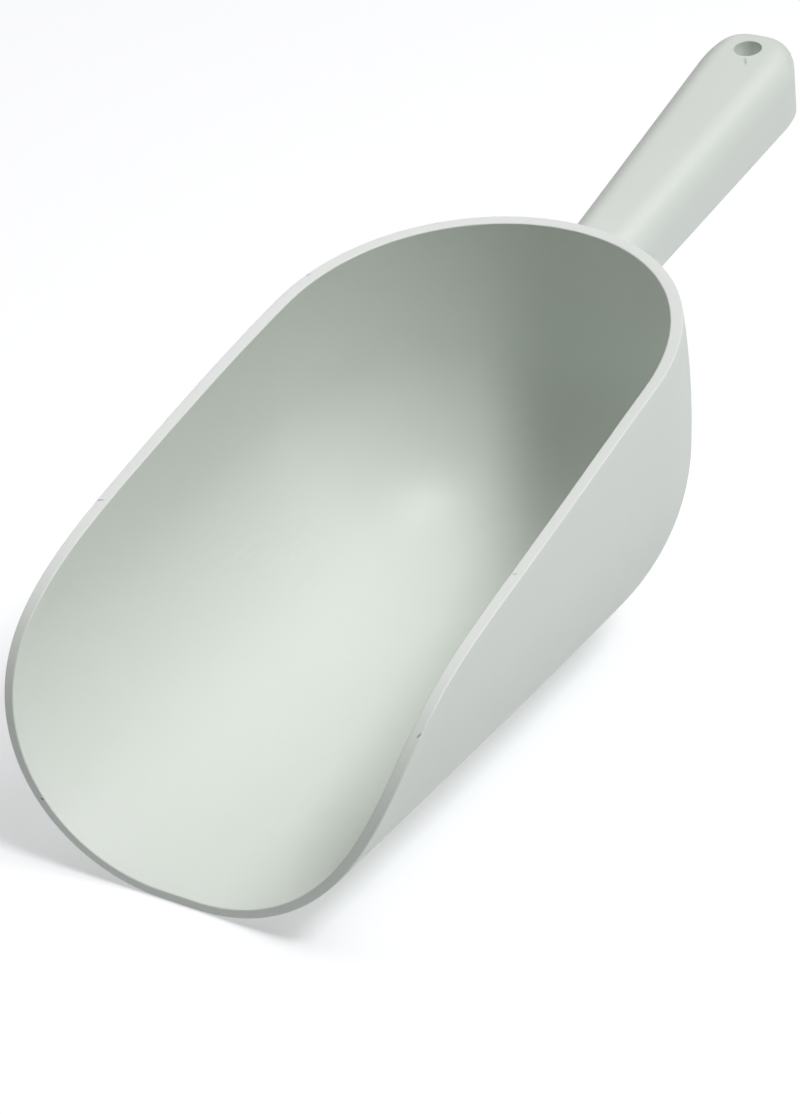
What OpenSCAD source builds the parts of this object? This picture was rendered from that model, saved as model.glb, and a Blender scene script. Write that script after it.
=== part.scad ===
// Feed scoop moulded in one piece: an open round-bottomed bowl with a domed back, a squared rim
// and a hollow handle that is open underneath, with a hanging hole near its tip.
// The base of the bowl rests on z = 0, the lip faces -Y and the handle points to +Y.
// Each feature of the moulding is its own closed solid, and neighbours meet face to face.

/* [Bowl] */
// Length of the bowl, from the lip to the back of the dome
bowl_len = 250; // [220:1:280]
// Outside width of the bowl at its widest, where the dome starts
back_w = 138.5; // [120:0.5:150]
// Outside width of the bowl near the lip
front_w = 132; // [110:0.5:140]
// Length of the domed back, measured along the bowl
dome_len = 81; // [60:1:100]
// Height at which the bowl is widest
belly_z = 65.5; // [50:0.5:75]
// Height of the rim at the back
rim_z = 114.5; // [100:0.5:125]
// Height over which the wall above the belly would close in to nothing
lean_z = 141; // [110:1:220]
// Width of the flat strip under the floor that the scoop rests on
sole_w = 12; // [6:1:24]

/* [Wall] */
// Thickness of the wall at the top of the rim
wall = 4.2; // [3:0.1:5]
// Thickness of the floor and of the lip
floor_t = 2.9; // [2:0.1:4]
// Width of the squared band along the rim and the lip
band = 3.5; // [2:0.5:6]

/* [Handle] */
// Height of the handle's top face, produced back to the widest part of the dome
handle_z = 100; // [90:0.5:104]
// Angle at which the handle rises
handle_rise = 12; // [0:1:20]
// Length of the handle from the widest part of the dome to its tip
handle_len = 144.5; // [110:0.5:160]
// Width of the handle where it leaves the dome
root_w = 26; // [22:0.5:34]
// Width of the handle near its tip
tip_w = 34.5; // [28:0.5:40]
// Depth of the handle where it leaves the dome
root_d = 19.5; // [16:0.5:26]
// Depth of the handle near its tip
tip_d = 25.5; // [20:0.5:32]
// Radius along the handle's two top edges
edge_r = 9.5; // [5:0.5:10]
// Thickness of the handle's walls
handle_wall = 3; // [2:0.1:4]
// Length of the rounded nose that closes the handle
nose_len = 20; // [18:0.5:24]

/* [Hanging hole] */
// Radius of the hole
hole_r = 4.9; // [3:0.1:5.4]
// Distance from the middle of the hole to the handle's tip
hole_back = 12.5; // [11:0.5:13]
// Thickness of the eye's ring around the hole
eye_wall = 1.6; // [1:0.1:1.6]

/* [Hidden] */
shell_colour = [0.84, 0.86, 0.83];
edge_colour = [0.9, 0.91, 0.89];
handle_colour = [0.8, 0.83, 0.8];
eye_colour = [0.7, 0.74, 0.7];

// Half widths and lengths that the bowl's formulas use
sole = sole_w / 2;
dome_y = bowl_len - dome_len;
back_r = back_w / 2;
front_r = front_w / 2;
quarter = 90;
// Turn round the girth that half of the flat sole takes up
sole_turn = sole / belly_z * 180 / PI;
// The origin is under the middle of the whole scoop, which ends at the foot of the handle's tip
total_len = bowl_len + handle_len * cos(handle_rise) + tip_d * sin(handle_rise);
middle_y = total_len / 2;

// Numbers of divisions of the faceted skins
side_rows = 26;
girth_columns = 11;
dome_rows = 40;
arc_steps = 8;
nose_rows = 12;
round_fn = 64;

// Side view of the rim: a Bezier curve whose points are shares of the bowl's length and height
rim_shape = [[0, 0], [0.009, 0.93], [0.342, 0.53], [0.374, 0.9], [1, 1]];
// Divisions of the tables that the rim's height is looked up in
table_steps = 200;
// Rows of the rim's side that belong to the lip
lip_rows = 12;
// Height at which the rim's side starts, on the edge of the straight front
front_rise = 1;

// Point on a Bezier curve, by halving the list of points down to one
function bezier(points, t) =
    len(points) == 1 ? points[0] :
    bezier([for (i = [0:len(points) - 2]) points[i] * (1 - t) + points[i + 1] * t], t);

rim_points = [for (p = rim_shape) [p[0] * bowl_len, p[1] * rim_z]];
rim_table = [for (i = [0:table_steps]) bezier(rim_points, i / table_steps)];
rim_share = [for (i = [0:table_steps]) [rim_table[i][0], i / table_steps]];
height_share = [for (i = [0:table_steps]) [rim_table[i][1], i / table_steps]];

// Height of the rim at a distance y from the lip
function rim_height(y) = lookup(y, rim_table);

// Half width of the bowl at its belly: it grows smoothly from the lip to the dome
function half_width(y) = front_r + (back_r - front_r) * sin(quarter * y / dome_y);

// Cross section at turn g, measured round the girth from the keel: [reach, height].
// A flat sole, then a quarter ellipse up to the belly, then a taller quarter ellipse that leans in
function reach(r, g) =
    g < sole_turn ? sole * g / sole_turn :
    g < sole_turn + quarter ? sole + (r - sole) * sin(g - sole_turn) :
    r * cos((g - sole_turn - quarter) * belly_z / lean_z);
function height(g) =
    g < sole_turn ? 0 :
    g < sole_turn + quarter ? belly_z * (1 - cos(g - sole_turn)) :
    belly_z + lean_z * sin((g - sole_turn - quarter) * belly_z / lean_z);

// Turn at which the cross section reaches height z
function turn_at(z) =
    z < belly_z ? sole_turn + acos(1 - z / belly_z) :
    sole_turn + quarter + asin((z - belly_z) / lean_z) * lean_z / belly_z;

// Outer skin. s is the distance from the lip as far as the dome, and past that it also counts the
// degrees round the dome, from its right side to its left. A negative turn is the trough's left side.
function skin(s, g) =
    let (a = abs(g), angle = max(0, s - dome_y), r = s < dome_y ? half_width(s) : back_r)
    [sign(g) * reach(r, a) * cos(angle), min(s, dome_y) + reach(dome_len, a) * sin(angle), height(a)];

// Outward normal from the cross product of the skin's two slopes, and straight down on the sole
slope_step = 0.01;
function unit(v) = v / norm(v);
function normal_of(s, g) =
    abs(g) <= sole_turn ? [0, 0, -1] :
    unit(cross(skin(s + slope_step, g) - skin(s - slope_step, g),
        skin(s, g + slope_step) - skin(s, g - slope_step)));

// Thickness grows from the floor to the top of the rim
function thickness(g) = floor_t + (wall - floor_t) * height(abs(g)) / rim_z;
function inner(s, g) = skin(s, g) - thickness(g) * normal_of(s, g);

// Rim as [distance, turn] along the right side, closer together near the lip
side_start = lookup(front_rise, height_share);
side_end = lookup(dome_y, rim_share);
rim_side = [for (i = [0:side_rows])
    let (t = side_start + (side_end - side_start) * pow(i / side_rows, 2), p = bezier(rim_points, t))
    [i == side_rows ? dome_y : p[0], turn_at(p[1])]];

// Turn of the rim round the dome: the rim's height is looked up where the skin lies, three times
function dome_turn(s, g) = turn_at(rim_height(skin(s, g)[1]));
function rim_turn(s) = dome_turn(s, dome_turn(s, dome_turn(s, turn_at(rim_z))));

// The band's lower edge lies a band's width in from the rim, square to it on the opened-out skin
mm_per_turn = belly_z * PI / 180;
function slope_of(i) =
    let (a = rim_side[max(i - 1, 0)], b = rim_side[min(i + 1, side_rows)])
    unit([b[0] - a[0], (b[1] - a[1]) * mm_per_turn]);
function band_in(i) =
    rim_side[i] + band * [slope_of(i)[1] * (1 - rim_side[i][0] / dome_y), -slope_of(i)[0] / mm_per_turn];
lower_side = [for (i = [0:side_rows])
    i == side_rows ? rim_side[i] - [0, band / mm_per_turn] :
    i == 0 ? [band, rim_side[0][1]] : band_in(i)];
function lower_turn(s) = rim_turn(s) - band / mm_per_turn;

// Turns of the columns between the keel and a top turn, with one on the edge of the sole
function columns(top, n) =
    [0, for (j = [0:n - 1]) sole_turn + (top - sole_turn) * j / (n - 1)];
function both_sides(list) =
    concat([for (i = [len(list) - 1:-1:1]) -list[i]], list);

// Closed solid between two grids of points with the same rows and columns
module slab(outer, inside) {
    rows = len(outer);
    cols = len(outer[0]);
    half = rows * cols;
    at = function (i, j) i * cols + j;
    points = concat([for (row = outer) for (p = row) p], [for (row = inside) for (p = row) p]);
    skin_out = [for (i = [0:rows - 2]) for (j = [0:cols - 2])
        [at(i, j), at(i, j + 1), at(i + 1, j + 1), at(i + 1, j)]];
    skin_in = [for (f = skin_out) [half + f[3], half + f[2], half + f[1], half + f[0]]];
    rim_loop = concat([for (j = [0:cols - 1]) at(0, j)], [for (i = [1:rows - 1]) at(i, cols - 1)],
        [for (j = [cols - 2:-1:0]) at(rows - 1, j)], [for (i = [rows - 2:-1:1]) at(i, 0)]);
    edge = [for (k = [0:len(rim_loop) - 1])
        let (a = rim_loop[k], b = rim_loop[(k + 1) % len(rim_loop)]) [a, half + a, half + b, b]];
    polyhedron(points, faces = split(concat(skin_out, skin_in, edge)));
}

// Four-sided faces as pairs of triangles
function split(faces) = [for (f = faces) for (k = [1:len(f) - 2]) [f[0], f[k], f[k + 1]]];

// Closed solid through a list of outlines that all have the same number of points
module loft(outlines) {
    n = len(outlines[0]);
    last = (len(outlines) - 1) * n;
    sides = [for (i = [0:len(outlines) - 2]) for (k = [0:n - 1])
        [i * n + k, i * n + (k + 1) % n, (i + 1) * n + (k + 1) % n, (i + 1) * n + k]];
    polyhedron([for (o = outlines) for (p = o) p],
        faces = concat(split(sides), [[for (k = [n - 1:-1:0]) k], [for (k = [0:n - 1]) last + k]]));
}

module place_bowl() translate([0, -middle_y, 0]) children();

// Sides, floor and front of the bowl, up to where the dome starts
module trough() {
    rows = lower_side;
    turns = [for (r = rows) both_sides(columns(r[1], girth_columns))];
    place_bowl() color(shell_colour) slab(
        [for (i = [0:len(rows) - 1]) [for (g = turns[i]) skin(rows[i][0], g)]],
        [for (i = [0:len(rows) - 1]) [for (g = turns[i]) inner(rows[i][0], g)]]);
}

// Rounded back of the bowl, a fan of ribs of points round the end of the sole
module back_dome() {
    angles = [for (k = [0:dome_rows]) dome_y + 180 * k / dome_rows];
    top = [for (s = angles) lower_turn(s)];
    turns = [for (t = top) [for (j = [girth_columns - 1:-1:0])
        sole_turn + (t - sole_turn) * j / (girth_columns - 1)]];
    cols = girth_columns;
    half = (dome_rows + 1) * cols;
    points = concat(
        [for (k = [0:dome_rows]) for (g = turns[k]) skin(angles[k], g)],
        [for (k = [0:dome_rows]) for (g = turns[k]) inner(angles[k], g)]);
    at = function (k, j) k * cols + j;
    skin_out = [for (k = [0:dome_rows - 1]) for (j = [0:cols - 2])
        [at(k, j), at(k + 1, j), at(k + 1, j + 1), at(k, j + 1)]];
    skin_in = [for (f = skin_out) [half + f[3], half + f[2], half + f[1], half + f[0]]];
    sole_out = [for (k = [dome_rows:-1:0]) at(k, cols - 1)];
    sole_in = [for (k = [0:dome_rows]) half + at(k, cols - 1)];
    top_edge = [for (k = [0:dome_rows - 1]) [at(k, 0), half + at(k, 0), half + at(k + 1, 0), at(k + 1, 0)]];
    right_face = [for (j = [0:cols - 2]) [at(0, j + 1), half + at(0, j + 1), half + at(0, j), at(0, j)]];
    left_face = [for (j = [0:cols - 2]) [at(dome_rows, j), half + at(dome_rows, j),
        half + at(dome_rows, j + 1), at(dome_rows, j + 1)]];
    sole_face = [at(dome_rows, cols - 1), half + at(dome_rows, cols - 1), half + at(0, cols - 1),
        at(0, cols - 1)];
    place_bowl() color(shell_colour) polyhedron(points, faces = concat(
        split(concat(skin_out, skin_in, top_edge, right_face, left_face, [sole_face])),
        [sole_out, sole_in]));
}

// One cross section of the band: rim outside, rim inside, lower inside, lower outside
function band_outline(rim, low) =
    [skin(rim[0], rim[1]), inner(rim[0], rim[1]), inner(low[0], low[1]), skin(low[0], low[1])];
function mirror_x(outline) = [for (p = outline) [-p[0], p[1], p[2]]];
function reversed(list) = [for (i = [len(list) - 1:-1:0]) list[i]];

side_band = [for (i = [0:side_rows]) band_outline(rim_side[i], lower_side[i])];
front_band = [for (g = both_sides(columns(rim_side[0][1], girth_columns)))
    band_outline([rim_side[0][0], g], [band, g])];
dome_band = [for (k = [1:dome_rows - 1]) let (s = dome_y + 180 * k / dome_rows)
    band_outline([s, rim_turn(s)], [s, lower_turn(s)])];

// Thin front edge that does the scooping, round to the shoulders of the mouth
module lip_edge() {
    right = [for (i = [1:lip_rows]) side_band[i]];
    place_bowl() color(edge_colour)
        loft(concat(reversed([for (o = right) mirror_x(o)]), front_band, right));
}

// Squared band along the top of both sides and round the dome
module rim_edge() {
    right = [for (i = [lip_rows:side_rows]) side_band[i]];
    place_bowl() color(edge_colour)
        loft(concat(right, dome_band, reversed([for (o = right) mirror_x(o)])));
}

// The handle is drawn along +Y with its top face at z = 0, then raised to its angle
module place_handle()
    place_bowl() translate([0, bowl_len, handle_z]) rotate([handle_rise, 0, 0]) children();

nose_start = handle_len - nose_len;
// Plan of the handle: straight tapered sides, then a nose shaped as a blunt superellipse
nose_power = 2.7;
nose_turn = 84;
function blunt(u) = pow(1 - pow(min(max(u, 0), 1), nose_power), 1 / nose_power);
function handle_half(l) = (root_w + (tip_w - root_w) * min(l, nose_start) / nose_start) / 2;
function handle_depth(l) = root_d + (tip_d - root_d) * min(l, nose_start) / nose_start;

// How far a cut goes past the face that it opens
cut_past = 1;
// Arch across the handle, from its right foot over rounded top edges to its left foot
function arch(l, half, top, bottom, r) = concat(
    [[half, l, bottom]],
    [for (k = [0:arc_steps]) let (a = quarter * k / arc_steps)
        [half - r + r * cos(a), l, top - r + r * sin(a)]],
    [for (k = [arc_steps:-1:0]) let (a = quarter * k / arc_steps)
        [-half + r - r * cos(a), l, top - r + r * sin(a)]],
    [[-half, l, bottom]]);

// The nose: u runs from its start, 0, to its end, 1, and its top edge rounds over at the end
over_r = 5;
least_half = 0.01;
function nose_arch(u, inset) =
    let (l = nose_start + u * (nose_len - inset),
        half = (tip_w / 2 - inset) * blunt(u),
        over = max(0, (l - (handle_len - inset - over_r)) / over_r),
        top = -inset - over_r * (1 - sqrt(max(0, 1 - over * over))),
        r = min(edge_r - inset, half - least_half))
    arch(l, half, top, inset > 0 ? -tip_d - cut_past : -tip_d, r);
nose_shares = [for (k = [0:nose_rows]) sin(nose_turn * k / nose_rows)];
// Share of the nose's length by which its hollow starts before it, to open it into the channel
nose_lead = 0.02;

// Distance from the lip to the back of the dome's outer skin, at x and height z
function dome_back(x, z) =
    let (g = turn_at(z), rx = reach(back_r, g), ry = reach(dome_len, g))
    dome_y + ry * sqrt(max(0, 1 - pow(x / rx, 2)));
// Distance along the handle at which a line at x and height v leaves the dome, a hair clear of it.
// The dome is looked up at the height where the line meets it, until that settles
clearance = 0.06;
root_tries = 6;
function root_at(x, v, l = 0, tries = root_tries) = tries == 0 ? l :
    let (z = handle_z + l * sin(handle_rise) + v * cos(handle_rise),
        y = dome_back(x, z) + clearance)
    root_at(x, v, (y - bowl_len + v * sin(handle_rise)) / cos(handle_rise), tries - 1);

// One arch of the channel, set in by a wall's thickness or not, and trimmed to the dome at the root
function channel_arch(l, inset, trim) =
    let (line = arch(l, handle_half(l) - inset, -inset, -handle_depth(l), edge_r - inset))
    trim ? [for (p = line) [p[0], root_at(p[0], p[2]), p[2]]] : line;

// Hollow grip: a top and two sides, open underneath, trimmed to the dome it grows from
channel_rows = 6;
module handle_channel() {
    stations = [for (i = [0:channel_rows]) nose_start * i / channel_rows];
    place_handle() color(handle_colour) slab(
        [for (l = stations) channel_arch(l, 0, l == 0)],
        [for (l = stations) channel_arch(l, handle_wall, l == 0)]);
}

// Cylinder along the axis of the hanging hole, from above the top face down past the eye
module hole_axis(r, low, high)
    translate([0, handle_len - hole_back, low]) cylinder(r = r, h = high - low, $fn = round_fn);

// Rounded end of the handle: it closes the channel, with room for the eye
eye_r = hole_r + eye_wall;
eye_depth = 6;
module handle_nose() {
    place_handle() color(handle_colour) difference() {
        loft([for (u = nose_shares) nose_arch(u, 0)]);
        loft([for (u = concat([-nose_lead], nose_shares)) nose_arch(u, handle_wall)]);
        hole_axis(eye_r, -eye_depth - cut_past, cut_past);
    }
}

// Short tube round the hanging hole, let into the top of the nose
module hang_eye() {
    place_handle() color(eye_colour) difference() {
        hole_axis(eye_r, -eye_depth, 0);
        hole_axis(hole_r, -eye_depth - cut_past, cut_past);
    }
}

trough();
back_dome();
lip_edge();
rim_edge();
handle_channel();
handle_nose();
hang_eye();
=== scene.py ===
import math

import bmesh
import bpy
import numpy as np
from mathutils import Matrix, Vector


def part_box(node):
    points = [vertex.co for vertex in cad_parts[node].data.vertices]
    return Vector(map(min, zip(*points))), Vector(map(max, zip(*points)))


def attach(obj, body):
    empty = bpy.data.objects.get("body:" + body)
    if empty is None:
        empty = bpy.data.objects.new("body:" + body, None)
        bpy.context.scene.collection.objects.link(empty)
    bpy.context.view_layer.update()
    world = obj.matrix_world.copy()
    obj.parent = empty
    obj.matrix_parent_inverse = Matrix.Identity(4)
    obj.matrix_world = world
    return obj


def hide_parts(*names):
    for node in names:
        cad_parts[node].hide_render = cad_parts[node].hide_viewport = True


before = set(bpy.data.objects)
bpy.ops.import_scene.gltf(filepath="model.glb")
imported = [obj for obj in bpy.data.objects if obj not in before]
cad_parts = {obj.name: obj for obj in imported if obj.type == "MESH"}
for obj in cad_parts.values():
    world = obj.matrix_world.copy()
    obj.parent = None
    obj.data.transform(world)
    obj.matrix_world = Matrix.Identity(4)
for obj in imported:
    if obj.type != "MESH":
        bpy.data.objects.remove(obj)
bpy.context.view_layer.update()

# ---------------------------------------------------------------------------------------------
# Sides, floor and front of the bowl. The whole scoop is one injection moulding in satin off-white
# plastic; this is the part of it that slides into the feed. It runs from just inside the lip to
# the widest part of the bowl, where the domed back begins. Lengths are in metres.

lip_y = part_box("lip_edge")[0].y
rim_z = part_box("rim_edge")[1].z
bowl_len = 0.250
dome_len = 0.081
back_r = 0.06925
front_r = 0.066
belly_z = 0.0655
lean_z = 0.141
sole = 0.006
wall = 0.0042
floor_t = 0.0029
band = 0.0035

quarter = np.pi / 2
dome_y = bowl_len - dome_len
sole_turn = sole / belly_z
column_count = 70
side_rows = 156
table_count = 4001
least_length = 1e-30
merge_steps = 1e7


def reach(r, turn):
    """Half width of the cross section at a turn from the keel: it grows evenly over the flat sole,
    then follows a quarter ellipse to the belly, and then a taller ellipse that leans back in."""
    below = sole + (r - sole) * np.sin(np.clip(turn - sole_turn, 0, quarter))
    above = r * np.cos(np.maximum(turn - sole_turn - quarter, 0) * belly_z / lean_z)
    rounded = np.where(turn < sole_turn + quarter, below, above)
    return np.where(turn < sole_turn, sole * turn / sole_turn, rounded)


def height(turn):
    """Height of the cross section at a turn: zero on the sole, then the two ellipses of reach."""
    below = belly_z * (1 - np.cos(np.clip(turn - sole_turn, 0, quarter)))
    above = lean_z * np.sin(np.maximum(turn - sole_turn - quarter, 0) * belly_z / lean_z)
    return below + above


def turn_at(z):
    """Turn at which the cross section reaches height z, the inverse of height."""
    below = sole_turn + np.arccos(np.clip(1 - z / belly_z, -1, 1))
    above = sole_turn + quarter + np.arcsin(np.clip((z - belly_z) / lean_z, 0, 1)) * lean_z / belly_z
    return np.where(z < belly_z, below, above)


def skin(s, g):
    """Outer skin. s is metres from the lip up to the dome, and past it also counts the radians
    round the dome, right to left. g is the turn from the keel, negative on the left side."""
    a = np.abs(g)
    angle = np.maximum(s - dome_y, 0)
    r = front_r + (back_r - front_r) * np.sin(quarter * np.clip(s / dome_y, 0, 1))
    x = np.sign(g) * reach(r, a) * np.cos(angle)
    y = lip_y + np.minimum(s, dome_y) + reach(dome_len, a) * np.sin(angle)
    return np.stack([x, y, height(a)], axis=-1)


def facing(surface, s, g, step=1e-5):
    """Unit normal of a surface: the cross product of its slopes along s and round g. The sole is
    flat, so there it points straight down on the outer skin."""
    along = surface(s + step, g) - surface(s - step, g)
    around = surface(s, g + step) - surface(s, g - step)
    normal = np.cross(along, around)
    normal /= np.maximum(np.linalg.norm(normal, axis=-1, keepdims=True), least_length)
    flat = (np.abs(g) <= sole_turn)[..., None]
    return np.where(flat, np.array([0.0, 0.0, -1.0]), normal)


def thickness(g):
    """Wall thickness: it grows with height from the floor to the top of the rim."""
    return floor_t + (wall - floor_t) * height(np.abs(g)) / rim_z


def inner(s, g):
    """Inner skin: the outer skin moved in along its normal by the wall's thickness."""
    return skin(s, g) - thickness(g)[..., None] * facing(skin, s, g)


def bezier(points, t):
    """Points of a Bezier curve: neighbouring points are mixed by t until one point is left."""
    mixed = [np.outer(1 + 0 * t, p) for p in points]
    while len(mixed) > 1:
        mixed = [a * (1 - t[:, None]) + b * t[:, None] for a, b in zip(mixed, mixed[1:])]
    return mixed[0]


# Side view of the rim: control points as shares of the bowl's length and of the rim's height
rim_shape = np.array([[0, 0], [0.009, 0.93], [0.342, 0.53], [0.374, 0.9], [1, 1]])
rim_points = rim_shape * [bowl_len, rim_z]
table_t = np.linspace(0, 1, table_count)
table = bezier(rim_points, table_t)
front_rise = 0.001
start_t, end_t = np.interp(front_rise, table[:, 1], table_t), np.interp(dome_y, table[:, 0], table_t)
side_t = start_t + (end_t - start_t) * (np.arange(side_rows + 1) / side_rows) ** 2
side = bezier(rim_points, side_t)
side[-1, 0] = dome_y
rim_s, rim_g = side[:, 0], turn_at(side[:, 1])

# The foot of the band along the rim lies a band's width in, square to the rim on the opened-out
# skin. Its shift along the bowl fades out towards the dome, and at the front it is straight back.
slope = np.gradient(np.stack([rim_s, rim_g * belly_z], axis=-1), axis=0)
slope /= np.linalg.norm(slope, axis=-1, keepdims=True)
low_s = rim_s + band * slope[:, 1] * (1 - rim_s / dome_y)
low_g = rim_g - band * slope[:, 0] / belly_z
low_s[0], low_g[0] = band, rim_g[0]
low_s[-1], low_g[-1] = dome_y, rim_g[-1] - band / belly_z


def columns(top):
    """Turns from one top edge over the keel to the other, with one on each edge of the sole."""
    shares = np.linspace(0, 1, column_count)
    half = sole_turn + (top[:, None] - sole_turn) * shares
    return np.concatenate([-half[:, ::-1], 0 * top[:, None], half], axis=1)


def ladder(a, b):
    """Two lines of points as the rails of a strip, for the hidden faces where pieces meet."""
    return np.stack([a, b], axis=1), None


def make_piece(name, patches, painted_light_share=None):
    """A closed mesh of triangles from grids of points. Corners in the same ten-millionth of a metre
    are merged, squashed triangles go, and each corner keeps its own grid's normal, so that shading
    runs on unbroken from one piece to the next. A grid with no normals is shaded flat.
    painted_light_share holds a number for each point of the first grid, and becomes the attribute
    "painted_rim_light": painted light."""
    points, normals, triangles, count = [], [], [], 0
    for grid, normal in patches:
        rows, cols = grid.shape[:2]
        at = count + np.arange(rows * cols).reshape(rows, cols)
        a, b, c, d = at[:-1, :-1], at[1:, :-1], at[1:, 1:], at[:-1, 1:]
        triangles += [np.stack([a, b, c], -1).reshape(-1, 3), np.stack([a, c, d], -1).reshape(-1, 3)]
        points.append(grid.reshape(-1, 3))
        normals.append(np.full((rows * cols, 3), np.nan) if normal is None else normal.reshape(-1, 3))
        count += rows * cols
    points, normals, triangles = map(np.concatenate, (points, normals, triangles))
    whole = np.round(points * merge_steps).astype(np.int64)
    _, first, merged = np.unique(whole, axis=0, return_index=True, return_inverse=True)
    corners = merged.reshape(-1)[triangles]
    a, b, c = corners.T
    kept = (a != b) & (b != c) & (c != a)
    corners, triangles = corners[kept], triangles[kept]
    mesh = bpy.data.meshes.new(name)
    mesh.from_pydata(points[first], [], corners)
    turn_outward(mesh)
    turned = np.zeros(len(corners) * 3, np.int32)
    mesh.loops.foreach_get("vertex_index", turned)
    turned = turned.reshape(-1, 3)
    match = np.argmax(turned[:, :, None] == corners[:, None, :], axis=2)
    own = normals[np.take_along_axis(triangles, match, axis=1)]
    p = points[first][turned]
    flat = np.cross(p[:, 1] - p[:, 0], p[:, 2] - p[:, 0])
    flat /= np.maximum(np.linalg.norm(flat, axis=1, keepdims=True), least_length)
    own = np.where(np.isnan(own), flat[:, None, :], own)
    # Painted light: for each point, how far the rim's top is painted paler, as if lit
    if painted_light_share is not None:
        value = np.zeros(len(first), np.float32)
        np.maximum.at(value, merged.reshape(-1)[:painted_light_share.size], painted_light_share.reshape(-1))
        mesh.attributes.new("painted_rim_light", "FLOAT", "POINT").data.foreach_set("value", value)
    mesh.polygons.foreach_set("use_smooth", np.ones(len(corners), bool))
    mesh.normals_split_custom_set(own.reshape(-1, 3).tolist())
    piece = bpy.data.objects.new(name, mesh)
    bpy.context.scene.collection.objects.link(piece)
    return piece


def turn_outward(mesh):
    """Winds every face of a closed mesh so that it faces outwards."""
    work = bmesh.new()
    work.from_mesh(mesh)
    bmesh.ops.recalc_face_normals(work, faces=work.faces)
    work.to_mesh(mesh)
    work.free()


def shell_patches(s, g):
    """Outer and inner skin of a wall over the same grid, with their normals."""
    return [(skin(s, g), facing(skin, s, g)), (inner(s, g), -facing(inner, s, g))]


trough_g = columns(low_g)
trough_s = low_s[:, None] + 0 * trough_g
(outside, outside_n), (inside, inside_n) = shell_patches(trough_s, trough_g)
trough = make_piece("bowl_trough", [
    (outside, outside_n), (inside, inside_n),
    ladder(outside[0], inside[0]), ladder(outside[-1], inside[-1]),
    ladder(outside[:, 0], inside[:, 0]), ladder(outside[:, -1], inside[:, -1]),
])


def new_group(name, inputs, outputs):
    """An empty shader group with its sockets, and its input and output nodes."""
    group = bpy.data.node_groups.new(name, "ShaderNodeTree")
    for label, kind, value in inputs:
        socket = group.interface.new_socket(label, in_out="INPUT", socket_type="NodeSocket" + kind)
        if value is not None:
            socket.default_value = value
    for label, kind in outputs:
        group.interface.new_socket(label, in_out="OUTPUT", socket_type="NodeSocket" + kind)
    return group, group.nodes.new("NodeGroupInput"), group.nodes.new("NodeGroupOutput")


def add_node(tree, kind, settings=None, **values):
    """A shader node with its settings and unlinked input values, named by their socket labels."""
    node = tree.nodes.new("ShaderNode" + kind)
    for key, value in (settings or {}).items():
        setattr(node, key, value)
    for key, value in values.items():
        node.inputs[key.replace("_", " ")].default_value = value
    return node


def math_node(tree, operation, a, b=None, clamp=False):
    """A Math node on sockets or numbers; returns its output socket."""
    node = add_node(tree, "Math", {"operation": operation, "use_clamp": clamp})
    for socket, value in zip(node.inputs, (a, b)):
        if isinstance(value, bpy.types.NodeSocket):
            tree.links.new(value, socket)
        elif value is not None:
            socket.default_value = value
    return node.outputs[0]


def drift_group():
    """Slow drift of the plastic's tone, as pigment and wall thickness vary: two soft noises of
    different size, the small one centred on zero, are added and mix the base colour towards the
    deep colour."""
    group, start, end = new_group(
        "tone_drift",
        [("Position", "Vector", None), ("Base", "Color", (1, 1, 1, 1)), ("Deep", "Color", (1, 1, 1, 1)),
         ("Scale", "Float", 12.0), ("Amount", "Float", 0.5)],
        [("Color", "Color")])
    link = group.links.new
    finer, small_share = 6.0, 0.3
    broad = add_node(group, "TexNoise", Detail=2.0)
    small = add_node(group, "TexNoise", Detail=4.0)
    for noise in (broad, small):
        link(start.outputs["Position"], noise.inputs["Vector"])
    link(start.outputs["Scale"], broad.inputs["Scale"])
    link(math_node(group, "MULTIPLY", start.outputs["Scale"], finer), small.inputs["Scale"])
    mixed = math_node(group, "MULTIPLY_ADD", small.outputs["Fac"], small_share)
    mixed.node.inputs[2].default_value = -small_share / 2
    total = math_node(group, "ADD", broad.outputs["Fac"], mixed)
    share = math_node(group, "MULTIPLY", total, start.outputs["Amount"], clamp=True)
    mix = add_node(group, "Mix", {"data_type": "RGBA"})
    link(share, mix.inputs["Factor"])
    link(start.outputs["Base"], mix.inputs[6])
    link(start.outputs["Deep"], mix.inputs[7])
    link(mix.outputs[2], end.inputs["Color"])
    return group


def scuff_group():
    """Fine rubbed scratches: a noise stretched along the bowl, cut to thin lines by keeping only
    its values near the middle, and thinned out by a second, broad noise."""
    group, start, end = new_group(
        "scuffs",
        [("Position", "Vector", None), ("Density", "Float", 0.5), ("Width", "Float", 0.02)],
        [("Mask", "Float")])
    link = group.links.new
    noise_middle, patch_contrast = 0.5, 5.0
    stretch = add_node(group, "Mapping", Scale=(900.0, 35.0, 900.0), Rotation=(0.0, 0.0, 0.12))
    link(start.outputs["Position"], stretch.inputs["Vector"])
    lines = add_node(group, "TexNoise", Scale=1.0, Detail=2.0, Distortion=0.4)
    link(stretch.outputs["Vector"], lines.inputs["Vector"])
    off = math_node(group, "ABSOLUTE", math_node(group, "SUBTRACT", lines.outputs["Fac"], noise_middle))
    nearness = math_node(group, "DIVIDE", off, start.outputs["Width"])
    line = math_node(group, "SUBTRACT", 1.0, nearness, clamp=True)
    patches = add_node(group, "TexNoise", Scale=28.0, Detail=3.0)
    link(start.outputs["Position"], patches.inputs["Vector"])
    threshold = math_node(group, "SUBTRACT", 1.0, start.outputs["Density"])
    where = math_node(group, "SUBTRACT", patches.outputs["Fac"], threshold)
    where = math_node(group, "MULTIPLY", where, patch_contrast, clamp=True)
    link(math_node(group, "MULTIPLY", line, where), end.inputs["Mask"])
    return group


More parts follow.
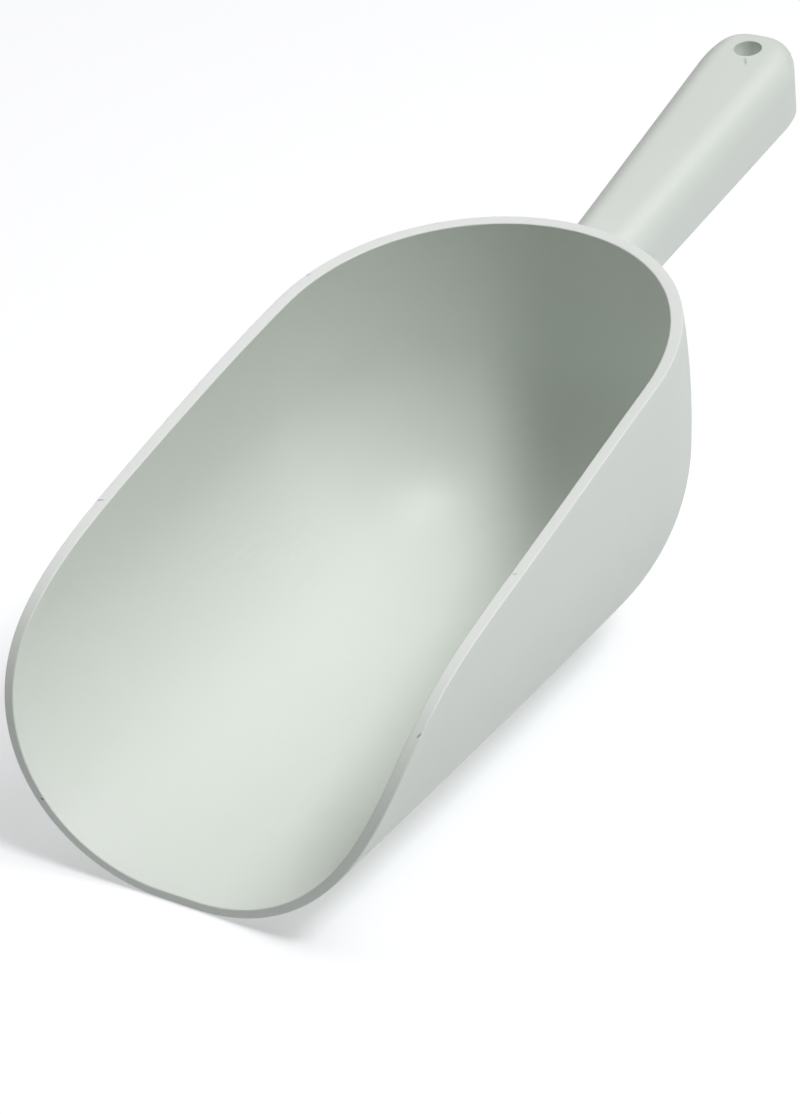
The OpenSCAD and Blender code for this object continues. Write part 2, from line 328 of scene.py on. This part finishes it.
def grain_group():
    """The mould's own surface, as heights: a very fine spark grain and slow sink waves."""
    group, start, end = new_group(
        "mould_grain",
        [("Position", "Vector", None), ("Grain", "Float", 1.0), ("Waves", "Float", 1.0)],
        [("Height", "Float")])
    link = group.links.new
    fine = add_node(group, "TexNoise", Scale=2600.0, Detail=2.0)
    slow = add_node(group, "TexNoise", Scale=22.0, Detail=1.0)
    for noise in (fine, slow):
        link(start.outputs["Position"], noise.inputs["Vector"])
    grain = math_node(group, "MULTIPLY", fine.outputs["Fac"], start.outputs["Grain"])
    waves = math_node(group, "MULTIPLY", slow.outputs["Fac"], start.outputs["Waves"])
    link(math_node(group, "ADD", grain, waves), end.inputs["Height"])
    return group


def mark_group():
    """One small knock or flow line: the position is measured from the mark's place, along its own
    turned axes and in its own half sizes, and the mask falls to nothing at a length of one."""
    group, start, end = new_group(
        "small_mark",
        [("Position", "Vector", None), ("Place", "Vector", (0, 0, 0)), ("Turn", "Vector", (0, 0, 0)),
         ("Size", "Vector", (0.001, 0.001, 0.001))],
        [("Mask", "Float")])
    link = group.links.new
    local = add_node(group, "Mapping", {"vector_type": "TEXTURE"})
    sockets = {"Position": "Vector", "Place": "Location", "Turn": "Rotation", "Size": "Scale"}
    for label, socket in sockets.items():
        link(start.outputs[label], local.inputs[socket])
    length = add_node(group, "VectorMath", {"operation": "LENGTH"})
    link(local.outputs["Vector"], length.inputs[0])
    fade = add_node(group, "MapRange", {"interpolation_type": "SMOOTHSTEP"},
                    From_Min=0.35, From_Max=1.0, To_Min=1.0, To_Max=0.0)
    link(length.outputs["Value"], fade.inputs["Value"])
    link(fade.outputs["Result"], end.inputs["Mask"])
    return group


tone_drift, scuffs, mould_grain, small_mark = drift_group(), scuff_group(), grain_group(), mark_group()
plastic_base = (0.782, 0.825, 0.776, 1.0)
plastic_deep = (0.718, 0.775, 0.708, 1.0)
scratched_tone = (0.88, 0.9, 0.87, 1.0)
# Pale tone for painted light: the rim's top is painted paler, as if lit
painted_light_tone = (0.93, 0.94, 0.93, 1.0)
dirt_tone = (0.2, 0.215, 0.19, 1.0)
scratch_lightening, scratch_roughening, scratch_depth = 0.35, 0.18, 0.6
plastic_ior = 1.49


def satin_plastic(name, scuff=0.4, roughness=0.42, grain=0.5, drift=0.6, painted_light=0.0, marks=()):
    """The scoop's satin plastic. scuff is how much of the surface is scratched, and a scratch is a
    little lighter and rougher than the skin round it. painted_light is how far the attribute
    "painted_rim_light" pales the colour: painted light, the rim's top painted paler as if lit. marks
    are small dark knocks or flow lines, each a place, a turn about the vertical, three half sizes and a
    strength."""
    material = bpy.data.materials.new(name)
    material.use_nodes = True
    tree = material.node_tree
    link = tree.links.new
    shader = tree.nodes["Principled BSDF"]
    place = tree.nodes.new("ShaderNodeTexCoord").outputs["Object"]

    def placed(group, **values):
        """A shared effect with its own values, read in the object's coordinates."""
        node = add_node(tree, "Group", {"node_tree": group}, **values)
        link(place, node.inputs["Position"])
        return node.outputs[0]

    tone = placed(tone_drift, Base=plastic_base, Deep=plastic_deep, Amount=drift)
    mask = placed(scuffs, Density=scuff)
    lighter = add_node(tree, "Mix", {"data_type": "RGBA"})
    lighter.inputs[7].default_value = scratched_tone
    link(math_node(tree, "MULTIPLY", mask, scratch_lightening), lighter.inputs["Factor"])
    link(tone, lighter.inputs[6])
    # Painted light: the colour is mixed towards a pale tone on the rim's top, as if lit
    painted_lit = add_node(tree, "Mix", {"data_type": "RGBA"})
    painted_lit.inputs[7].default_value = painted_light_tone
    edge = add_node(tree, "Attribute", {"attribute_name": "painted_rim_light"}).outputs["Fac"]
    link(math_node(tree, "MULTIPLY", edge, painted_light), painted_lit.inputs["Factor"])
    link(lighter.outputs[2], painted_lit.inputs[6])
    surface = painted_lit.outputs[2]
    dirt = 0.0
    for spot, spin, size, strength in marks:
        spread = placed(small_mark, Place=spot, Turn=(0, 0, spin), Size=size)
        dirt = math_node(tree, "MAXIMUM", dirt, math_node(tree, "MULTIPLY", spread, strength))
    if marks:
        stained = add_node(tree, "Mix", {"data_type": "RGBA"})
        stained.inputs[7].default_value = dirt_tone
        link(dirt, stained.inputs["Factor"])
        link(surface, stained.inputs[6])
        surface = stained.outputs[2]
    link(surface, shader.inputs["Base Color"])
    rough = math_node(tree, "MULTIPLY_ADD", mask, scratch_roughening)
    rough.node.inputs[2].default_value = roughness
    link(rough, shader.inputs["Roughness"])
    groove = math_node(tree, "MULTIPLY", mask, scratch_depth)
    total = math_node(tree, "SUBTRACT", placed(mould_grain, Grain=grain), groove)
    bump = add_node(tree, "Bump", Strength=0.12, Distance=0.0001)
    link(total, bump.inputs["Height"])
    link(bump.outputs["Normal"], shader.inputs["Normal"])
    shader.inputs["IOR"].default_value = plastic_ior
    return material


def finish_piece(piece, material, node):
    """A piece of the moulding gets its plastic and rides with the body, and its node is hidden."""
    piece.data.materials.append(material)
    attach(piece, "root")
    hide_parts(node)


finish_piece(trough, satin_plastic("bowl_plastic", scuff=0.52), "trough")

# ---------------------------------------------------------------------------------------------
# Domed back of the bowl. The same wall carries on round the end of the sole as half of a bulging
# bowl, and closes the scoop. It is moulded with the sides, so nothing shows where they meet.

dome_rows = 160
dome_angle = np.linspace(0, np.pi, dome_rows + 1)
dome_s = dome_y + dome_angle


def rim_turn(s, tries=8):
    """Turn of the rim round the dome: the rim's height is looked up where the skin lies, and the
    lookup is repeated until it settles."""
    g = turn_at(rim_z + 0 * s)
    for _ in range(tries):
        g = turn_at(np.interp(skin(s, g)[:, 1] - lip_y, table[:, 0], table[:, 1]))
    return g


dome_top = rim_turn(dome_s)
dome_low = dome_top - band / belly_z
dome_g = np.concatenate([columns(dome_low)[:, column_count + 1:][:, ::-1], 0 * dome_low[:, None]], axis=1)
dome_grid_s = dome_s[:, None] + 0 * dome_g
(outside, outside_n), (inside, inside_n) = shell_patches(dome_grid_s, dome_g)
back_dome = make_piece("bowl_dome", [
    (outside, outside_n), (inside, inside_n),
    ladder(outside[0], inside[0]), ladder(outside[-1], inside[-1]), ladder(outside[:, 0], inside[:, 0]),
])
finish_piece(back_dome, satin_plastic("dome_plastic", scuff=0.42), "back_dome")

# ---------------------------------------------------------------------------------------------
# Lip and rim. The wall ends in a squared band with small rounded edges, which starts as the thin
# scooping lip, climbs the shoulders of the mouth and runs round the dome. It is part of the same
# moulding; the mould's split line ran along it, so it carries the knocks of use.

lip_rows = 72
outer_round = 0.0005
inner_round = 0.0005
# Painted light on the rim's top grows in between these two distances along the bowl
painted_light_from, painted_light_to = 0.004, 0.06
side_count = 3
corner = np.linspace(0, quarter, 9)

front_g = columns(rim_g[:1])[0]
front_s = rim_s[0] + 0 * front_g
right = slice(1, None)
left = slice(-1, 0, -1)
path_s = np.concatenate([front_s, rim_s[right], dome_s[1:-1], rim_s[left]])
path_g = np.concatenate([front_g, rim_g[right], dome_top[1:-1], -rim_g[left]])
path_low_s = np.concatenate([0 * front_s + band, low_s[right], dome_s[1:-1], low_s[left]])
path_low_g = np.concatenate([front_g, low_g[right], dome_low[1:-1], -low_g[left]])


def band_grid():
    """Rounded square section carried along the rim. It runs up the outside from a band's width
    in, round the outer edge, over the top, round the inner edge and down the inside. Each point
    is a distance in from the rim and a depth under the outer skin."""
    thick = thickness(path_g)[:, None]
    run = np.linspace(1, 0, side_count + 1)[:-1]
    one = 1 + 0 * thick
    inward = np.concatenate([
        one * (outer_round + (band - outer_round) * run), one * (outer_round * (1 - np.sin(corner))),
        0 * one, one * (inner_round * (1 - np.sin(corner[::-1]))),
        one * (inner_round + (band - inner_round) * run[::-1])], axis=1)
    depth = np.concatenate([
        one * 0 * run, one * (outer_round * (1 - np.cos(corner))), thick / 2,
        thick - inner_round * (1 - np.cos(corner[::-1])), thick + 0 * run], axis=1)
    share = inward / band
    s = path_s[:, None] + (path_low_s - path_s)[:, None] * share
    g = path_g[:, None] + (path_low_g - path_g)[:, None] * share
    points = skin(s, g) - (depth / thick * thickness(g))[..., None] * facing(skin, s, g)
    along = np.roll(points, -1, axis=0) - np.roll(points, 1, axis=0)
    normal = np.cross(along, np.gradient(points, axis=1))
    normal /= np.linalg.norm(normal, axis=-1, keepdims=True)
    normal *= np.sign(np.sum(normal[:, 1] * facing(skin, s, g)[:, 1], axis=-1))[:, None, None]
    normal[:, 0] = facing(skin, s, g)[:, 0]
    normal[:, -1] = -facing(inner, s, g)[:, -1]
    return points, normal


def painted_rim_light_share(rows):
    """How far each point of the band is painted paler as painted light: only on its top, and growing
    from nothing at the lip to all of it where the rim has climbed the shoulders."""
    climb = np.clip((rim_climb[rows] - painted_light_from) / (painted_light_to - painted_light_from), 0, 1)
    top = np.zeros(band_points.shape[1])
    skirt = side_count + len(corner) // 2
    top[skirt:-skirt] = 1
    return (climb * climb * (3 - 2 * climb))[:, None] * top


def band_piece(name, rows):
    """A stretch of the band as a closed solid: its skin, its hidden foot and its two ends."""
    grid, normal = band_points[rows], band_normals[rows]
    half = grid.shape[1] // 2 + 1
    ends = [ladder(grid[i, :half], grid[i, ::-1][:half]) for i in (0, -1)]
    return make_piece(name, [(grid, normal), ladder(grid[:, 0], grid[:, -1])] + ends, painted_rim_light_share(rows))


band_points, band_normals = band_grid()
rim_climb = band_points[:, 0, 1] - lip_y
path_count = len(path_s)
lip_turn = len(front_g) + lip_rows - 1
around = np.arange(path_count)
lip_edge = band_piece("bowl_lip", np.roll(around, lip_rows)[:lip_turn + lip_rows + 1])
rim_edge = band_piece("bowl_rim", around[lip_turn:path_count - lip_rows + 1])

# Knocks as a place, a turn about the vertical, three half sizes and a strength
lip_marks = [((-0.0462, lip_y + 0.0010, 0.0203), 0.4, (0.0009, 0.0015, 0.0006), 0.85)]
rim_marks = [
    ((-0.0668, lip_y + 0.0675, 0.0809), 0.5, (0.0022, 0.0003, 0.004), 0.8),
    ((-0.0650, lip_y + 0.1840, 0.1060), 0.9, (0.0024, 0.0004, 0.004), 0.8),
    ((0.0659, lip_y + 0.0246, 0.0630), -0.5, (0.0004, 0.0011, 0.0018), 0.7),
    ((0.0652, lip_y + 0.0815, 0.0843), 0.3, (0.0010, 0.0005, 0.002), 0.3),
]
# Both band materials paint the rim's top paler: painted light
lip_plastic = satin_plastic("lip_plastic", scuff=0.5, roughness=0.38, painted_light=0.65, marks=lip_marks)
rim_plastic = satin_plastic("rim_plastic", scuff=0.5, roughness=0.38, painted_light=0.65, marks=rim_marks)
finish_piece(lip_edge, lip_plastic, "lip_edge")
finish_piece(rim_edge, rim_plastic, "rim_edge")

# ---------------------------------------------------------------------------------------------
# Grip of the handle. A hollow channel, open underneath, that tapers wider towards its tip and
# rises a little. It is moulded onto the dome under the rim, with a small fillet all round its root.

handle_z = 0.100
rise = math.radians(12)
handle_len = 0.1445
nose_len = 0.020
root_w, tip_w = 0.026, 0.0345
root_d, tip_d = 0.0195, 0.0255
edge_r = 0.0095
handle_wall = 0.003
foot_round = 0.0006
root_fillet = 0.0025
sunk = 0.0002
nose_start = handle_len - nose_len
fillet_rows, grip_rows = 9, 60
edge_count, foot_count, wall_count = 10, 5, 4


def turn_handle(vectors):
    """Directions from the handle's own frame, along +Y with its top flat, to its raised angle."""
    return vectors @ np.array(Matrix.Rotation(rise, 3, "X")).T


def place_handle(points):
    """Points from the handle's own frame, with its top at zero, to their place at its angle."""
    return turn_handle(points) + np.array([0, lip_y + bowl_len, handle_z])


def grip_section(edge, depth):
    """Section of the grip's wall as distances in from its side and heights: round the top edge,
    down the side, round the foot and up the inside to the inner corner. Also the directions in
    which each point faces, sideways and up. The rows of edge and depth give the rows of it."""
    edge, depth = np.broadcast_arrays(edge[:, None], depth[:, None])
    arc = np.linspace(0, quarter, edge_count)
    foot = np.linspace(0, quarter, foot_count)
    run = np.linspace(0, 1, wall_count + 2)[1:-1]
    inner_edge = edge - handle_wall
    one = np.ones_like(edge)
    top, low = -edge, foot_round - depth
    across = np.concatenate([
        edge * (1 - np.sin(arc)), 0 * one * run, foot_round * (1 - np.cos(foot)) * one,
        (handle_wall - foot_round * (1 - np.cos(foot[::-1]))) * one, handle_wall + 0 * one * run,
        handle_wall + inner_edge * (1 - np.sin(arc[::-1]))], axis=1)
    up = np.concatenate([
        edge * (np.cos(arc) - 1), top + (low - top) * run, low - foot_round * np.sin(foot),
        low - foot_round * np.sin(foot[::-1]), low + (-handle_wall - inner_edge - low) * run,
        -handle_wall + inner_edge * (np.cos(arc[::-1]) - 1)], axis=1)
    side_n = np.concatenate([
        np.sin(arc), 1 + 0 * run, np.cos(foot), -np.cos(foot[::-1]), -1 + 0 * run, -np.sin(arc[::-1])])
    up_n = np.concatenate([
        np.cos(arc), 0 * run, -np.sin(foot), -np.sin(foot[::-1]), 0 * run, -np.cos(arc[::-1])])
    return across, up, side_n, up_n


def root_at(x, v, tries=12):
    """Distance along the handle at which the line at x and height v leaves the dome. The dome is
    looked up at the height where the line meets it, and the lookup is repeated until it settles."""
    along = 0 * x
    for _ in range(tries):
        g = turn_at(handle_z + along * math.sin(rise) + v * math.cos(rise))
        inside = np.clip(1 - (x / reach(back_r, g)) ** 2, 0, 1)
        y = dome_y + reach(dome_len, g) * np.sqrt(inside) - sunk
        along = (y - bowl_len + v * math.sin(rise)) / math.cos(rise)
    return along


def channel_grid():
    """The half section carried along the grip, with the centre line added at both ends. Near the
    root it flares by a quarter circle into the dome, and each line starts where it meets the dome."""
    fillet = root_fillet * (1 - np.cos(np.linspace(0, quarter, fillet_rows)))
    shares = np.concatenate([np.zeros(fillet_rows), np.linspace(0, 1, grip_rows + 1)[1:]])
    off_root = np.concatenate([fillet, np.full(grip_rows, root_fillet)])
    flare = root_fillet - np.sqrt(root_fillet ** 2 - (root_fillet - off_root) ** 2)
    half = (root_w + (tip_w - root_w) * shares) / 2
    across, up, side_n, up_n = grip_section(0 * half + edge_r, root_d + (tip_d - root_d) * shares)
    count = len(side_n)
    outer = np.arange(count) < count // 2
    x = half[:, None] - across + flare[:, None] * np.where(outer & (up_n >= 0), side_n, outer * 1.0)
    v = up + flare[:, None] * np.where(outer & (up_n > 0), up_n, 0)
    x = np.concatenate([0 * x[:, :1], x, 0 * x[:, :1]], axis=1)
    v = np.concatenate([v[:, :1], v, v[:, -1:]], axis=1)
    root = root_at(x, v) + off_root[:, None]
    along = root + (nose_start - root) * shares[:, None]
    return np.stack([x, along, v], axis=-1), side_n, up_n


def facing_grid(points):
    """Normals of a grid of points: the cross product of its slopes along rows and columns."""
    normal = np.cross(np.gradient(points, axis=0), np.gradient(points, axis=1))
    return normal / np.maximum(np.linalg.norm(normal, axis=-1, keepdims=True), least_length)


grip, side_n, up_n = channel_grid()
grip_n = facing_grid(grip)
# A point on the grip's top must face up, so its sign turns the whole half outwards
top_row, top_column = 5, 3
grip_n *= np.sign(grip_n[top_row, top_column, 2])
end_n = np.stack([side_n, 0 * side_n, up_n], axis=-1)
grip_n[-1, 1:-1] = end_n
grip_n[:, 0], grip_n[:, -1] = grip_n[:, 0] * [0, 1, 1], grip_n[:, -1] * [0, 1, 1]
grip_n[-1, 0], grip_n[-1, -1] = (0, 0, 1), (0, 0, -1)
patches = []
for mirror in ([1, 1, 1], [-1, 1, 1]):
    points, normals = place_handle(grip * mirror), turn_handle(grip_n * mirror)
    patches.append((points, normals))
    half = points.shape[1] // 2
    patches += [ladder(points[i, :half], points[i, ::-1][:half]) for i in (0, -1)]
handle_channel = make_piece("handle_grip", patches)

# Short T-shaped flow line where the plastic met again behind the hole, given as the knocks are
flow_lines = [
    ((0.00285, lip_y + 0.3711, 0.1255), 0.53, (0.0006, 0.0027, 0.004), 0.42),
    ((0.00194, lip_y + 0.3727, 0.1258), 0.53, (0.0012, 0.0006, 0.004), 0.35),
]
grip_plastic = satin_plastic("grip_plastic", scuff=0.36, roughness=0.4, marks=flow_lines)
finish_piece(handle_channel, grip_plastic, "handle_channel")

# ---------------------------------------------------------------------------------------------
# Nose of the handle. It closes the channel with a blunt rounded end, whose side wall carries on
# from the grip's. The top has a round seat for the eye of the hanging hole, moulded in one with it.

nose_power = 2.7
over_r = 0.005
hole_back = 0.0125
eye_wall = 0.0016
eye_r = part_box("hang_eye")[1].x
hole_r = eye_r - eye_wall
hole_l = handle_len - hole_back
outline_steps = 90
ray_count = 7
cut_count = 23


def nose_outline():
    """Plan of the nose, a blunt superellipse from the right side round the tip to the left, its
    outward directions, and the radius of its top edge, which shrinks towards the tip."""
    p = np.linspace(0, np.pi, outline_steps + 1)
    c, s = np.cos(p), np.abs(np.sin(p))
    c[outline_steps // 2], s[0], s[-1] = 0, 0, 0
    x = np.sign(c) * np.abs(c) ** (2 / nose_power)
    y = s ** (2 / nose_power)
    out = np.stack([np.sign(x) * np.abs(x) ** (nose_power - 1) / tip_w * 2,
                    y ** (nose_power - 1) / nose_len], axis=-1)
    out /= np.linalg.norm(out, axis=-1, keepdims=True)
    points = np.stack([x * tip_w / 2, nose_start + y * nose_len], axis=-1)
    return points, out, over_r + (edge_r - over_r) * c ** 2


def ring_patch(border, radius, up):
    """Flat face between a closed border and a circle round the hole's axis, with straight rays.
    up is 1 where it faces up and -1 where it faces down."""
    middle = np.array([0, hole_l, border[0, 2]])
    ray = border - middle
    circle = middle + radius * ray / np.linalg.norm(ray, axis=-1, keepdims=True)
    share = np.linspace(0, 1, ray_count)[None, :, None]
    grid = circle[:, None] * (1 - share) + border[:, None] * share
    normal = 0 * grid + np.array([0, 0, up])
    return place_handle(grid), turn_handle(normal), place_handle(circle)


outline, outward, edge = nose_outline()
across, up, side_n, up_n = grip_section(edge, tip_d + 0 * edge)
plan = outline[:, None] - across[..., None] * outward[:, None]
nose = np.concatenate([plan, up[..., None]], axis=-1)
nose_n = np.concatenate(
    [outward[:, None] * side_n[:, None], up_n[:, None] + 0 * outward[:, None, :1]], axis=-1)
cut = np.linspace(-1, 1, cut_count + 2)[1:-1, None]
patches = [(place_handle(nose), turn_handle(nose_n))]
rims, rails = [], []
for column, way_up in ((0, 1), (-1, -1)):
    line = nose[:, column]
    straight = line[0] * [0, 1, 1] + cut * (line[0] * [1, 0, 0])
    border = np.concatenate([line, straight, line[:1]])
    grid, normal, circle = ring_patch(border, eye_r, way_up)
    patches.append((grid, normal))
    rims.append(circle)
    rails.append(place_handle(np.concatenate([line[-1:], straight, line[:1]])))
patches += [ladder(*rims), ladder(*rails)]
half = nose.shape[1] // 2
placed_nose = place_handle(nose)
patches += [ladder(placed_nose[i, :half], placed_nose[i, ::-1][:half]) for i in (0, -1)]
handle_nose = make_piece("handle_end", patches)
nose_plastic = satin_plastic("nose_plastic", scuff=0.36, roughness=0.4, marks=flow_lines)
finish_piece(handle_nose, nose_plastic, "handle_nose")

# ---------------------------------------------------------------------------------------------
# Hanging eye. A short tube moulded into the nose round the hole that takes a hook or a cord, with
# its mouth slightly rounded where the core pin of the mould came out.

eye_depth = 0.006
mouth_round = 0.0002
round_count, mouth_count = 97, 5


def eye_grid():
    """A closed section of the tube's wall turned round the hole's axis."""
    a = np.linspace(0, quarter, mouth_count)
    r = np.concatenate([
        [eye_r], hole_r + mouth_round * (1 - np.sin(a)),
        hole_r + mouth_round * (1 - np.sin(a[::-1])), [eye_r], [eye_r]])
    v = np.concatenate([
        [0], mouth_round * (np.cos(a) - 1),
        -eye_depth + mouth_round * (1 - np.cos(a[::-1])), [-eye_depth], [0]])
    turn = np.linspace(0, 2 * np.pi, round_count)[:, None]
    x = r * np.cos(turn)
    x[-1] = x[0]
    y = hole_l + r * np.sin(turn)
    y[-1] = y[0]
    return np.stack([x, y, v + 0 * x], axis=-1)


eye = eye_grid()
eye_bore_n = facing_grid(eye[:, 1:-2])
# The bore faces its own axis: on the right it must face left
eye_bore_n *= np.sign(eye_bore_n[0, mouth_count - 1, 0]) * -1
hang_eye = make_piece("handle_eye", [
    (place_handle(eye[:, 1:-2]), turn_handle(eye_bore_n)),
    (place_handle(eye[:, :2]), None),
    (place_handle(eye[:, -3:-1]), None),
    (place_handle(eye[:, -2:]), None),
])
finish_piece(hang_eye, satin_plastic("eye_plastic", scuff=0.3, roughness=0.4), "hang_eye")

# ---------------------------------------------------------------------------------------------
# Studio. The scoop stands on a plain pale floor, which glows a little so that it shows almost
# white. A broad soft light hangs over its right side and a weaker one over its left, a small one
# puts the bright patch in the bowl, and the camera looks down into the mouth.

floor_half = 20.0
floor_tone = (0.72, 0.725, 0.75, 1)
floor_roughness = 0.9
floor_glow, extra_glow = 0.17, 0.24
floor_mesh = bpy.data.meshes.new("studio_floor")
floor_corners = floor_half * np.array([[-1, -1, 0], [1, -1, 0], [1, 1, 0], [-1, 1, 0]])
floor_mesh.from_pydata(floor_corners, [], [(0, 1, 2, 3)])
studio_floor = bpy.data.objects.new("studio_floor", floor_mesh)
bpy.context.scene.collection.objects.link(studio_floor)
floor_material = bpy.data.materials.new("floor_paint")
floor_material.use_nodes = True
floor_shader = floor_material.node_tree.nodes["Principled BSDF"]
floor_shader.inputs["Base Color"].default_value = floor_tone
floor_shader.inputs["Roughness"].default_value = floor_roughness
floor_shader.inputs["Emission Color"].default_value = (1, 1, 1, 1)
seen = add_node(floor_material.node_tree, "LightPath").outputs["Is Camera Ray"]
glow = math_node(floor_material.node_tree, "MULTIPLY_ADD", seen, extra_glow)
glow.node.inputs[2].default_value = floor_glow
floor_material.node_tree.links.new(glow, floor_shader.inputs["Emission Strength"])
studio_floor.data.materials.append(floor_material)


lit_point = Vector((0, 0, 0.05))


def soft_light(name, place, size, watts):
    """A square white soft box at a place, turned to the middle of the scoop."""
    light = bpy.data.lights.new(name, "AREA")
    light.shape, light.size, light.energy = "SQUARE", size, watts
    lamp = bpy.data.objects.new(name, light)
    lamp.location = place
    lamp.rotation_euler = (lit_point - Vector(place)).to_track_quat("-Z", "Y").to_euler()
    bpy.context.scene.collection.objects.link(lamp)


soft_light("right_softbox", (0.90, 0.50, 2.40), 2.0, 33)
soft_light("left_softbox", (-1.20, 0.30, 2.20), 2.0, 15)
soft_light("key_softbox", (1.27, -0.05, 2.15), 0.5, 22)
world_glow = 0.01
world = bpy.data.worlds.new("studio")
world.use_nodes = True
world.node_tree.nodes["Background"].inputs["Color"].default_value = (1, 1, 1, 1)
world.node_tree.nodes["Background"].inputs["Strength"].default_value = world_glow
bpy.context.scene.world = world
bpy.context.scene.view_settings.view_transform = "Standard"

turn, tilt, roll = math.radians(30.37), math.radians(29.88), math.radians(-1.29)
camera_distance, camera_lens, sensor_width = 0.9988, 104.45, 36
target = Vector((-0.0036, lip_y + 0.1352, 0.044))
back = Vector((math.sin(turn) * math.cos(tilt), -math.cos(turn) * math.cos(tilt), math.sin(tilt)))
level = Vector((math.cos(turn), math.sin(turn), 0))
upright = back.cross(level)
right_axis = level * math.cos(roll) + upright * math.sin(roll)
up_axis = upright * math.cos(roll) - level * math.sin(roll)
camera = bpy.data.objects.new("camera", bpy.data.cameras.new("camera"))
camera.data.lens = camera_lens
camera.data.sensor_width = sensor_width
camera.matrix_world = Matrix((right_axis, up_axis, back)).transposed().to_4x4()
camera.location = target + back * camera_distance
bpy.context.scene.collection.objects.link(camera)
bpy.context.scene.camera = camera
